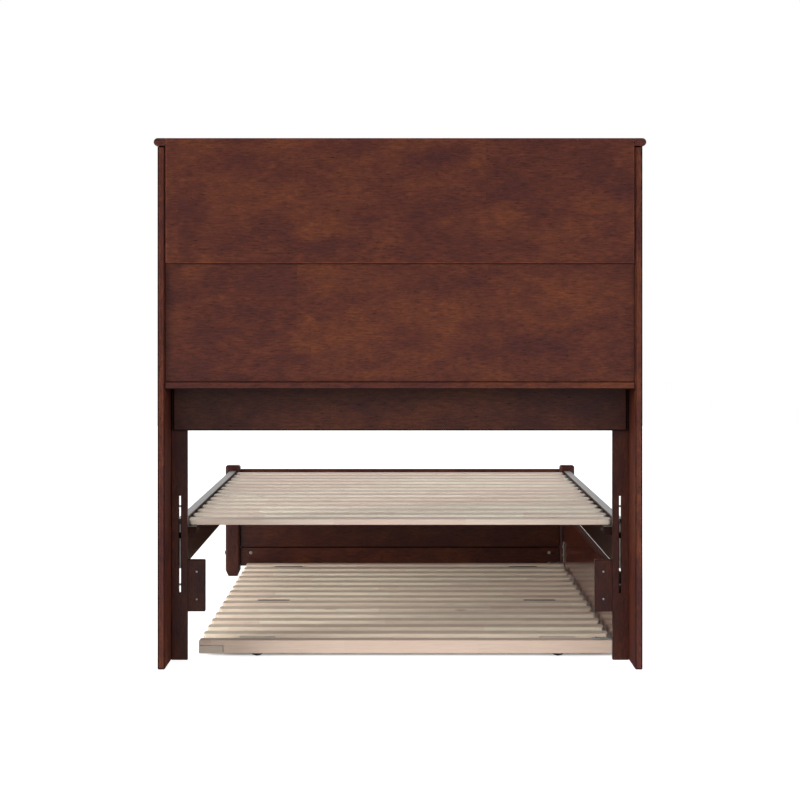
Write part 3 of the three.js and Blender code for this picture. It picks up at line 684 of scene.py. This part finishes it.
def bare_slat_wood(name, pink_tint, yellow_tint):
    """Bare planed pine-like wood: pale beige blocks, pinker and yellower by turns, with fine fibres."""
    material, tree = new_material(name)
    block = stave_of(tree, SLAT_BLOCK_LENGTH)
    fibre_at = own_grain(tree, block, BLOCK_JUMP)
    # Fibres about 60 mm long and 1.5 mm wide
    streak = noise(tree, stretched(tree, fibre_at, along=16, across=620), detail=2, roughness=0.6)
    # Growth rings about 7 mm apart, faint on planed wood
    ring_at = stretched(tree, fibre_at, along=1.2, across=42)
    ring = growth_rings(tree, ring_at, "SIN", wander=4, bend=0.8)
    # Soft warm and grey zones about 120 mm long
    zone = noise(tree, stretched(tree, fibre_at, along=8, across=30), detail=3, roughness=0.5)
    block_hue = calc(tree, "MULTIPLY", block.outputs["Value"], 0.7)
    hue = calc(tree, "MULTIPLY_ADD", zone, 0.5, block_hue)
    base = mix_colours(tree, hue, linear(pink_tint), linear(yellow_tint))
    # Knots: small brown ovals, one or two to a slat, in the cells that chance picks
    knot_at = stretched(tree, fibre_at, along=5, across=15)
    cells = add_node(tree, "ShaderNodeTexVoronoi", {"Vector": knot_at, "Scale": 1})
    cell = add_node(tree, "ShaderNodeSeparateColor", {0: cells.outputs["Color"]})
    chosen = calc(tree, "GREATER_THAN", cell.outputs[0], 0.78)
    oval = remap(tree, cells.outputs["Distance"], 0.05, 0.12, 1, 0)
    knotted = mix_colours(tree, calc(tree, "MULTIPLY", chosen, oval), base, linear("#8d6a4c"))
    # Blocks, fibres and rings make the wood a little darker or lighter
    block_gain = remap(tree, block.outputs["Value"], 0, 1, 0.88, 1.08)
    streak_gain = remap(tree, streak, 0.3, 0.7, 0.88, 1.07)
    ring_gain = remap(tree, ring, 0, 1, 0.96, 1.01)
    gain = calc(tree, "MULTIPLY", block_gain, calc(tree, "MULTIPLY", streak_gain, ring_gain))
    colour = dimmed(tree, knotted, gain)
    bump = add_node(tree, "ShaderNodeBump", {"Strength": 0.3, "Distance": 0.2 * MM, "Height": streak})
    planed = {"Base Color": colour, "Roughness": 0.62, "IOR": 1.45, "Normal": bump}
    return surface(material, tree, planed)


slat_wood = bare_slat_wood("bare_planed_slat_wood", "#debfb1", "#d6cdbb")


def store(tree, geometry, name, value, domain="POINT"):
    """Stores a vector under this name at each point, or at each instance."""
    inputs = {"Geometry": geometry, "Name": name, "Value": value}
    kind = "GeometryNodeStoreNamedAttribute"
    return add_node(tree, kind, inputs, data_type="FLOAT_VECTOR", domain=domain)


def slat_row():
    """A Geometry Nodes tree that makes a row of slats with round corners, all lying across the bed."""
    inputs = {
        "Geometry": ("Geometry",),
        "Int": ("Count", "Seed"),
        "Float": ("Length", "Width", "Thickness", "Pitch"),
        "Vector": ("First",),
        "Material": ("Wood",),
    }
    tree, given = new_tree("slat_row", inputs, "Slats")
    sides = {"Width": given["Length"], "Height": given["Width"]}
    outline = add_node(tree, "GeometryNodeCurvePrimitiveQuadrilateral", sides)
    corner = {"Curve": outline, "Count": SLAT_CORNER_STEPS, "Radius": SLAT_CORNER}
    rounded = add_node(tree, "GeometryNodeFilletCurve", corner, mode="POLY")
    flat = add_node(tree, "GeometryNodeFillCurve", {"Curve": rounded}, mode="NGONS")
    raised = {"Mesh": flat, "Offset Scale": given["Thickness"]}
    top = add_node(tree, "GeometryNodeExtrudeMesh", raised, mode="FACES")
    under = add_node(tree, "GeometryNodeFlipFaces", {"Mesh": flat})
    both = add_node(tree, "GeometryNodeJoinGeometry")
    tree.links.new(top.outputs["Mesh"], both.inputs[0])
    tree.links.new(under.outputs[0], both.inputs[0])
    slat = add_node(tree, "GeometryNodeMergeByDistance", {"Geometry": both, "Distance": SAME_PLACE})
    own = store(tree, slat, "own_place", add_node(tree, "GeometryNodeInputPosition"))
    step = vector_of(tree, 0, given["Pitch"], 0)
    places = {"Count": given["Count"], "Start Location": given["First"], "Offset": step}
    line = add_node(tree, "GeometryNodeMeshLine", places, mode="OFFSET")
    row = add_node(tree, "GeometryNodeInstanceOnPoints", {"Points": line, "Instance": own})
    most = (STAVE_SPREAD, STAVE_SPREAD, STAVE_SPREAD)
    draw = {"Min": (0, 0, 0), "Max": most, "Seed": given["Seed"]}
    chance = add_node(tree, "FunctionNodeRandomValue", draw, data_type="FLOAT_VECTOR")
    seeded = store(tree, row, "slat_chance", chance, domain="INSTANCE")
    real = add_node(tree, "GeometryNodeRealizeInstances", {"Geometry": seeded})

    # Each slat gets its own stretch of grain, and its own place in the row of finger-jointed blocks
    own_place = stored(tree, "own_place")
    slat_chance = stored(tree, "slat_chance")
    grain = calc_vector(tree, "ADD", own_place, slat_chance)
    chances = parts_of(tree, slat_chance)
    along = calc(tree, "ADD", parts_of(tree, own_place)["X"], chances["Y"])
    # Half a row up, every slat is one row of blocks
    stave = vector_of(tree, along, 0.5, chances["Z"])
    with_stave = store(tree, store(tree, real, "grain", grain), "stave", stave)
    done = add_node(tree, "GeometryNodeSetMaterial", {"Geometry": with_stave, "Material": given["Wood"]})
    add_node(tree, "NodeGroupOutput", {"Slats": done})
    return tree


SLAT_ROW = slat_row()


def lay_slats(name, wood, values):
    """A row of slats as one plain piece with eased edges."""
    piece = new_object(name, bpy.data.meshes.new(name))
    run_tree(piece, SLAT_ROW, {**values, "Wood": wood})
    return ease_edges(piece, SLAT_EASE, (wood,))


slat_nodes = [f"bed_slat_{i + 1:02d}" for i in range(BED_SLATS)]
first_low, first_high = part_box(slat_nodes[0])
last_low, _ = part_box(slat_nodes[-1])
slat_size = first_high - first_low
slat_pitch = (last_low.y - first_low.y) / (BED_SLATS - 1)
first_slat_y = (first_low.y + first_high.y) / 2
bed_slats = lay_slats(
    "bed_slats",
    slat_wood,
    {
        "Count": BED_SLATS,
        "Seed": BED_GRAIN_SEED,
        "Length": slat_size.x,
        "Width": slat_size.y,
        "Thickness": slat_size.z,
        "Pitch": slat_pitch,
        "First": (0, first_slat_y, first_low.z),
    },
)
finish(bed_slats, "bed_frame", "bare_slat_wood", *slat_nodes)

slat_screw_x = first_high.x - SLAT_SCREW_INSET
slat_rows = [first_slat_y + i * slat_pitch for i in range(BED_SLATS)]
fasten(
    "bed_slat_screws",
    "bed_frame",
    [((sign * slat_screw_x, y, first_high.z), (0, 0, 1)) for y in slat_rows for _, sign in SIDES],
    SLAT_SCREW,
)


# Foot posts: two square posts turned over at the top and along the edges, with tapered feet.
# Each holds the side rail's hooks in a pocket, and the stretcher's bolt under a turned wooden cap.
CAP_HEIGHT = 71.5 * MM
BOLT_CAP = head_sizes(7, 3.5, recess_width=2, recess_depth=0.3)
for side, sign in SIDES:
    board("foot_post_" + side, "foot_post_" + side, "Z", ease=POST_EASE, materials=FRAME_WALNUT_PAINTED_SHADE)
    low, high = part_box("foot_post_" + side)
    outer_x = high.x if sign > 0 else low.x
    cap = fasten(
        "foot_bolt_cap_" + side,
        "bed_frame",
        [((outer_x, (low.y + high.y) / 2, CAP_HEIGHT), (sign, 0, 0))],
        BOLT_CAP,
        finish_material=walnut_face,
        slot="walnut_stained_wood",
    )
    lay_grain(cap, "Z")


# Footboard: a panel over a lower stretcher, set between the posts, with a fine seam between them.
# The stretcher is drawn up by a bolt at each end, whose steel barrel nut shows in its near face.
BARREL_NUT_X = 457.8 * MM
BARREL_NUT = head_sizes(4.8, 0.8, recess_width=5, recess_depth=0.5, cross=True)
board("footboard_panel", "foot_panel", "X", rows=2, materials=FRAME_WALNUT_PAINTED_SHADE)
board("footboard_stretcher", "foot_stretcher", "X", materials=FRAME_WALNUT_PAINTED_SHADE)
stretcher_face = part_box("foot_stretcher")[0].y
fasten(
    "stretcher_barrel_nuts",
    "bed_frame",
    [((sign * BARREL_NUT_X, stretcher_face, CAP_HEIGHT), (0, -1, 0)) for _, sign in SIDES],
    BARREL_NUT,
)


# Trundle front panel: a long stained board under the right side rail, rounded along its top.
# Its lacquer is glossier than the rest, and mirrors the slats. Its rounded top was left matt.
FRONT_EASE = 1.5 * MM
walnut_front = walnut_stain("walnut_stained_gloss_lacquer", 1.0, roughness=0.17)
trundle_front = board("trundle_front", "trundle_front_panel", "Y", rows=2, ease=FRONT_EASE,
                      materials=(walnut_front, walnut_edge_stain_and_shade), body="trundle")
refinish(trundle_front, walnut_matt, (0, 0, 1), least=0.05)


# Trundle end rails: two thick bare rails across the ends, which carry the front panel and the deck.
# The near one has a greyer filler block let into a notch in its lower left corner.
FILLER_LENGTH = 55.5 * MM
FILLER_HEIGHT = 18 * MM
FILLER_DEPTH = 12 * MM
FILLER_PROUD = 0.15 * MM
FILLER_GAP = 0.5 * MM
FILLER_EASE = 0.4 * MM
END_RAIL_EASE = 2.5 * MM


def box_mesh(name, low, high):
    """A block between two corners, for a piece that is then eased and finished, or a cutter."""
    work = bmesh.new()
    bmesh.ops.create_cube(work, size=1)
    size = Vector(high) - Vector(low)
    middle = (Vector(high) + Vector(low)) / 2
    placed = Matrix.Translation(middle) @ Matrix.Diagonal((*size, 1))
    bmesh.ops.transform(work, matrix=placed, verts=work.verts)
    return object_from(name, work)


rail_wood = bare_slat_wood("bare_planed_rail_wood", "#d2b6a7", "#d0bca9")
filler_wood = bare_slat_wood("bare_planed_filler_wood", "#cbb9ab", "#c8bbaa")
RAIL_FINISH = {
    "ease": END_RAIL_EASE,
    "materials": (rail_wood,),
    "body": "trundle",
    "slot": "bare_slat_wood",
}
rail_low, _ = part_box("trundle_rail_head")
filler_back = rail_low.y + FILLER_DEPTH
notch_corner = (
    rail_low.x + FILLER_LENGTH + FILLER_GAP,
    filler_back + FILLER_PROUD,
    rail_low.z + FILLER_HEIGHT,
)
notch_cutter = box_mesh("notch_cutter", rail_low - Vector((1, 1, 1)) * FILLER_LENGTH, notch_corner)
board("trundle_end_rail_head", "trundle_rail_head", "X", cutter=notch_cutter, **RAIL_FINISH)
board("trundle_end_rail_foot", "trundle_rail_foot", "X", **RAIL_FINISH)
filler = box_mesh(
    "end_rail_filler_block",
    (rail_low.x, rail_low.y - FILLER_PROUD, rail_low.z),
    (rail_low.x + FILLER_LENGTH, filler_back, rail_low.z + FILLER_HEIGHT - FILLER_PROUD),
)
ease_edges(filler, FILLER_EASE, (filler_wood,), segments=2)
lay_grain(filler, "X")
finish(filler, "trundle", "bare_slat_wood")


# Trundle deck: thirteen bare slats nailed and glued across two bearers that run from rail to rail.
# The slats are painted a tone lighter than the bed's, as painted light where the bed above shades them,
# and are as thick.
TRUNDLE_SLATS = 13
TRUNDLE_SLAT_WIDTH = 62 * MM
TRUNDLE_GRAIN_SEED = 11
BEARER_WIDTH = 30 * MM
BEARER_INSET = 42 * MM
BEARER_LET_IN = 0.5 * MM
BEARER_EASE = 1.2 * MM
trundle_slat_wood = bare_slat_wood("bare_planed_trundle_slat_wood", "#e6c9b6", "#e0d5bf")
deck_low, deck_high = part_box("trundle_deck")
head_rail_y = middle_of("trundle_rail_head").y
foot_rail_y = middle_of("trundle_rail_foot").y
board_pitch = (foot_rail_y - head_rail_y) / (TRUNDLE_SLATS + 1)
deck_under = deck_high.z - slat_size.z
trundle_slats = lay_slats(
    "trundle_slats",
    trundle_slat_wood,
    {
        "Count": TRUNDLE_SLATS,
        "Seed": TRUNDLE_GRAIN_SEED,
        "Length": deck_high.x - deck_low.x,
        "Width": TRUNDLE_SLAT_WIDTH,
        "Thickness": slat_size.z,
        "Pitch": board_pitch,
        "First": ((deck_low.x + deck_high.x) / 2, head_rail_y + board_pitch, deck_under),
    },
)
finish(trundle_slats, "trundle", "bare_slat_wood", "trundle_deck")

bearer_starts = (deck_low.x + BEARER_INSET, deck_high.x - BEARER_INSET - BEARER_WIDTH)
for number, start in enumerate(bearer_starts, 1):
    bearer = box_mesh(
        f"deck_bearer_{number}",
        (start, deck_low.y, deck_low.z),
        (start + BEARER_WIDTH, deck_high.y, deck_under + BEARER_LET_IN),
    )
    ease_edges(bearer, BEARER_EASE, (slat_wood,))
    lay_grain(bearer, "Y")
    finish(bearer, "trundle", "bare_slat_wood", "trundle_deck")

fasten(
    "deck_screws",
    "trundle",
    [
        ((start + BEARER_WIDTH / 2, head_rail_y + i * board_pitch, deck_high.z), (0, 0, 1))
        for i in range(1, TRUNDLE_SLATS + 1)
        for start in bearer_starts
    ],
    SLAT_SCREW,
)


# Steel angles: 3 mm strip bent square and zinc plated, which tie the front panel to the end rails.
# Each is held by two round-headed screws in its foot and two in its rise.
ANGLE_SCREW = head_sizes(4.5, 2.4, recess_width=4.2, recess_depth=1.2, cross=True)
ANGLE_THICKNESS = 3 * MM
ANGLE_EASE = 0.6 * MM
FOOT_SCREW_X = (455.5 * MM, 483 * MM)
RISE_SCREW_Z = (70 * MM, 96 * MM)
for end in ENDS:
    angle_node = "trundle_angle_" + end
    angle = copy_of_node("steel_angle_" + end, angle_node)
    ease_edges(angle, ANGLE_EASE, (zinc,), segments=2)
    finish(angle, "trundle", "zinc_plated_steel", angle_node)
    low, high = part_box(angle_node)
    middle = (low.y + high.y) / 2
    in_foot = [((x, middle, low.z + ANGLE_THICKNESS), (0, 0, 1)) for x in FOOT_SCREW_X]
    in_rise = [((high.x - ANGLE_THICKNESS, middle, z), (-1, 0, 0)) for z in RISE_SCREW_Z]
    fasten(f"angle_screws_{end}", "trundle", in_foot + in_rise, ANGLE_SCREW)


# Casters: six fixed casters, each a moulded housing with a wheel on a riveted steel axle.
# Black glass-filled nylon, moulded with a fine matt grain that turns greyer where it rubs.
CASTERS = 6
NEAR_CASTERS = (1, 2)
PAD_THICKNESS = 0.8 * MM
PAD_INSET = Vector((0.4, 0.6, 0)) * MM
PAD_EASE = 0.2 * MM
HOUSING_EASE = 1.4 * MM
RIVET = head_sizes(4.5, 1.6, recess_width=2, recess_depth=0.5)
WHEEL_SEGMENTS = 64
WHEEL_RADIUS = 20 * MM
WHEEL_HALF = 9 * MM
WHEEL_BORE = 3.4 * MM
HUB_RADIUS = 8 * MM
RIM_DEPTH = 5 * MM
WEB_DISH = 2.4 * MM
WEB_SLOPE = 0.4 * MM
TREAD_EDGE = 3 * MM
TREAD_STEPS = 4
WHEEL_EASE = 0.3 * MM
GROOVE = 0.6 * MM
GROOVE_AT = 3 * MM


def moulded_nylon(name, tint, worn):
    """Moulded plastic, with the worn tint in patches where it rubs."""
    material, tree = new_material(name)
    place = add_node(tree, "ShaderNodeTexCoord").outputs["Object"]
    # The mould's spark grain, about 0.8 mm across
    grit = noise(tree, place, scale=1200, detail=2, roughness=0.6)
    wear = noise(tree, place, scale=45, detail=4, roughness=0.65)
    colour = mix_colours(tree, remap(tree, wear, 0.5, 0.75), linear(tint), linear(worn))
    gloss = remap(tree, grit, 0.3, 0.7, 0.42, 0.62)
    bump = add_node(tree, "ShaderNodeBump", {"Strength": 0.3, "Distance": 0.1 * MM, "Height": grit})
    moulded = {"Base Color": colour, "Roughness": gloss, "IOR": 1.53, "Normal": bump}
    return surface(material, tree, moulded)


black_nylon = moulded_nylon("moulded_black_nylon", "#1e1e20", "#34343a")


def turned(name, profile, centre, segments):
    """A closed profile of (radius, distance along Y) turned about a line through centre along Y."""
    work = bmesh.new()
    rings = []
    for i in range(segments):
        angle = math.tau * i / segments
        across = Vector((math.cos(angle), 0, math.sin(angle)))
        rings.append([work.verts.new(centre + r * across + Vector((0, y, 0))) for r, y in profile])
    for i, ring in enumerate(rings):
        following = rings[(i + 1) % segments]
        for j in range(len(profile)):
            k = (j + 1) % len(profile)
            work.faces.new((ring[j], ring[k], following[k], following[j]))
    bmesh.ops.recalc_face_normals(work, faces=work.faces)
    return object_from(name, work)


def wheel_profile():
    """Half of a wheel's section, mirrored: bore, hub, dished web, rim, rounded tread and its grooves."""
    web = WHEEL_HALF - WEB_DISH
    rim = WHEEL_RADIUS - RIM_DEPTH
    arc = [
        (
            WHEEL_RADIUS - TREAD_EDGE + TREAD_EDGE * math.sin(a),
            WHEEL_HALF - TREAD_EDGE + TREAD_EDGE * math.cos(a),
        )
        for a in (math.pi / 2 * i / TREAD_STEPS for i in range(TREAD_STEPS + 1))
    ]
    half = [
        (WHEEL_BORE, WHEEL_HALF),
        (HUB_RADIUS, WHEEL_HALF),
        (HUB_RADIUS + WEB_SLOPE, web),
        (rim - WEB_SLOPE, web),
        (rim, WHEEL_HALF),
        *arc,
        (WHEEL_RADIUS, GROOVE_AT + GROOVE),
        (WHEEL_RADIUS - GROOVE, GROOVE_AT),
        (WHEEL_RADIUS, GROOVE_AT - GROOVE),
    ]
    return half + [(r, -y) for r, y in reversed(half)]


for number in range(1, CASTERS + 1):
    housing_node = f"caster_housing_{number}"
    housing = copy_of_node(f"caster_shell_{number}", housing_node)
    ease_edges(housing, HOUSING_EASE, (black_nylon,))
    finish(housing, "trundle", "black_plastic", housing_node)
    low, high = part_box(housing_node)
    if number in NEAR_CASTERS:
        # A strip of bare wood packs the gap above each near housing
        pad_low = Vector((low.x, low.y, high.z)) + PAD_INSET
        pad_high = Vector((high.x, high.y, high.z + PAD_THICKNESS)) - PAD_INSET
        pad = box_mesh(f"caster_packing_{number}", pad_low, pad_high)
        ease_edges(pad, PAD_EASE, (slat_wood,), segments=2)
        lay_grain(pad, "X")
        finish(pad, "trundle", "bare_slat_wood")
    wheel_node = f"caster_wheel_{number}"
    axle = middle_of(wheel_node)
    fasten(f"axle_rivet_{number}", "trundle", [((axle.x, high.y, axle.z), (0, 1, 0))], RIVET)
    wheel = turned(f"wheel_{number}_turned", wheel_profile(), axle, WHEEL_SEGMENTS)
    ease_edges(wheel, WHEEL_EASE, (black_nylon,), segments=1)
    finish(wheel, f"wheel_{number}", "black_plastic", wheel_node)


# The studio: a pale floor and a white room, with a large soft light low on the left, a smaller one
# low on the right, and hardly any light from above, so that fronts are brighter than tops.
FLOOR_HALF = 12.0
FLOOR_THICKNESS = 0.02
FLOOR_GLOW = 0.87
FLOOR_IN_GLOSS = 0.3
DECK_SHADE = 0.15
DECK_SHADE_EDGE = 0.03
SHADE_PAST_DECK = 0.03
floor = box_mesh(
    "studio_floor", (-FLOOR_HALF, -FLOOR_HALF, -FLOOR_THICKNESS), (FLOOR_HALF, FLOOR_HALF, 0)
)


def away_from(tree, value, middle):
    """How far the value is from the middle, to either side."""
    return calc(tree, "ABSOLUTE", calc(tree, "SUBTRACT", value, middle))


def floor_finish():
    """Matt pale floor that shows white to the camera and in reflections, but for the bed's shadow and a
    painted shadow under the trundle's deck.
    """
    material, tree = new_material("pale_studio_floor")
    path = add_node(tree, "ShaderNodeLightPath").outputs
    in_gloss = calc(tree, "MULTIPLY", path["Is Glossy Ray"], FLOOR_IN_GLOSS)
    seen = calc(tree, "ADD", path["Is Camera Ray"], in_gloss)
    seen_through = calc(tree, "ADD", seen, path["Is Transmission Ray"], use_clamp=True)
    glow = calc(tree, "MULTIPLY", seen_through, FLOOR_GLOW)
    # The glow fades under the trundle's deck, a painted shadow where no light gets in
    parts = parts_of(tree, add_node(tree, "ShaderNodeTexCoord").outputs["Object"])
    outside = []
    for axis, low, high in (
        ("X", deck_low.x, deck_high.x + SHADE_PAST_DECK),
        ("Y", deck_low.y, deck_high.y),
    ):
        away = away_from(tree, parts[axis], (low + high) / 2)
        half = (high - low) / 2
        outside.append(remap(tree, away, half - DECK_SHADE_EDGE, half))
    beyond_deck = calc(tree, "MAXIMUM", *outside)
    shaded_glow = calc(tree, "MULTIPLY", glow, remap(tree, beyond_deck, 0, 1, DECK_SHADE, 1))
    matt = add_node(tree, "ShaderNodeBsdfDiffuse", {"Color": linear("#e7e7e7")})
    shine = add_node(tree, "ShaderNodeEmission", {"Color": linear("#ffffff"), "Strength": shaded_glow})
    both = add_node(tree, "ShaderNodeAddShader", {0: matt, 1: shine})
    add_node(tree, "ShaderNodeOutputMaterial", {"Surface": both})
    return material


floor.data.materials.append(floor_finish())


# Each soft light is a patch of the white room: its azimuths, counted from behind the headboard towards
# the left, its elevations, and how bright it is. The first two are the large one, low on the left.
SOFT_LIGHTS = (
    (40, 64, 0, 18, 13.4),
    (64, 82, 0, 18, 9.5),
    (44, 82, 18, 50, 3.2),
    (-80, -30, 0, 18, 6.8),
    (82, 180, 0, 50, 0.9),
    (-30, 44, 0, 18, 2.1),
    (-180, -80, 0, 50, 0.4),
)
SOFT_EDGE = math.radians(3)
LIGHTS_IN_GLOSS = 0.14
DIMMEST_IN_GLOSS = 0.03


def patch_of_light(tree, turn, rise, azimuths, elevations, strength):
    """A patch of the room with soft edges, as bright as the strength inside and dark outside."""
    shares = []
    for angle, (low, high) in ((turn, azimuths), (rise, elevations)):
        away = away_from(tree, angle, math.radians((low + high) / 2))
        half = math.radians((high - low) / 2)
        shares.append(remap(tree, away, half - SOFT_EDGE, half + SOFT_EDGE, 1, 0))
    return calc(tree, "MULTIPLY", calc(tree, "MULTIPLY", *shares), strength)


def white_room():
    """The world: white to the camera, with the soft lights, and dim behind the camera in reflections."""
    world = bpy.data.worlds.new("white_room")
    world.use_nodes = True
    bpy.context.scene.world = world
    tree = world.node_tree
    tree.nodes.clear()
    parts = parts_of(tree, add_node(tree, "ShaderNodeTexCoord").outputs["Generated"])
    left = calc(tree, "MULTIPLY", parts["X"], -1.0)
    behind = calc(tree, "MULTIPLY", parts["Y"], -1.0)
    turn = calc(tree, "ARCTAN2", left, behind)
    rise = calc(tree, "ARCSINE", parts["Z"])
    lights = 0.0
    for low_turn, high_turn, low_rise, high_rise, strength in SOFT_LIGHTS:
        patch = patch_of_light(tree, turn, rise, (low_turn, high_turn), (low_rise, high_rise), strength)
        lights = calc(tree, "ADD", lights, patch)
    mirror = remap(
        tree, parts["Y"], -0.2, 0.75, DIMMEST_IN_GLOSS, 1, interpolation_type="SMOOTHSTEP"
    )
    gloss = calc(tree, "MULTIPLY_ADD", lights, LIGHTS_IN_GLOSS, mirror)
    path = add_node(tree, "ShaderNodeLightPath").outputs
    to_gloss = {"Factor": path["Is Glossy Ray"], "A": lights, "B": gloss}
    bounced = add_node(tree, "ShaderNodeMix", to_gloss, data_type="FLOAT")
    direct = calc(tree, "ADD", path["Is Camera Ray"], path["Is Transmission Ray"], use_clamp=True)
    to_camera = {"Factor": direct, "A": bounced, "B": 1.0}
    strength = add_node(tree, "ShaderNodeMix", to_camera, data_type="FLOAT")
    light = add_node(tree, "ShaderNodeBackground", {"Color": linear("#ffffff"), "Strength": strength})
    add_node(tree, "ShaderNodeOutputWorld", {"Surface": light})


white_room()


# The camera stands behind the headboard, level, at chest height, with a long lens.
# The photograph's horizon lies above the middle of its frame, so the lens is shifted down a little.
PHOTO_SIZE = 800
SENSOR = 36.0
CAMERA_DISTANCE = 5.806
CAMERA_HEIGHT = 0.793
PIXELS_PER_METRE = 444.2
HORIZON_ROW = 317.5
camera_data = bpy.data.cameras.new("camera")
camera_data.sensor_width = SENSOR
camera_data.lens = SENSOR * PIXELS_PER_METRE * CAMERA_DISTANCE / PHOTO_SIZE
camera_data.shift_y = (HORIZON_ROW - PHOTO_SIZE / 2) / PHOTO_SIZE
camera_data.clip_end = 100
camera = bpy.data.objects.new("camera", camera_data)
bpy.context.scene.collection.objects.link(camera)
camera.location = (0, cad_box[0].y - CAMERA_DISTANCE, CAMERA_HEIGHT)
camera.rotation_euler = (math.pi / 2, 0, 0)
bpy.context.scene.camera = camera
bpy.context.scene.view_settings.view_transform = "Standard"
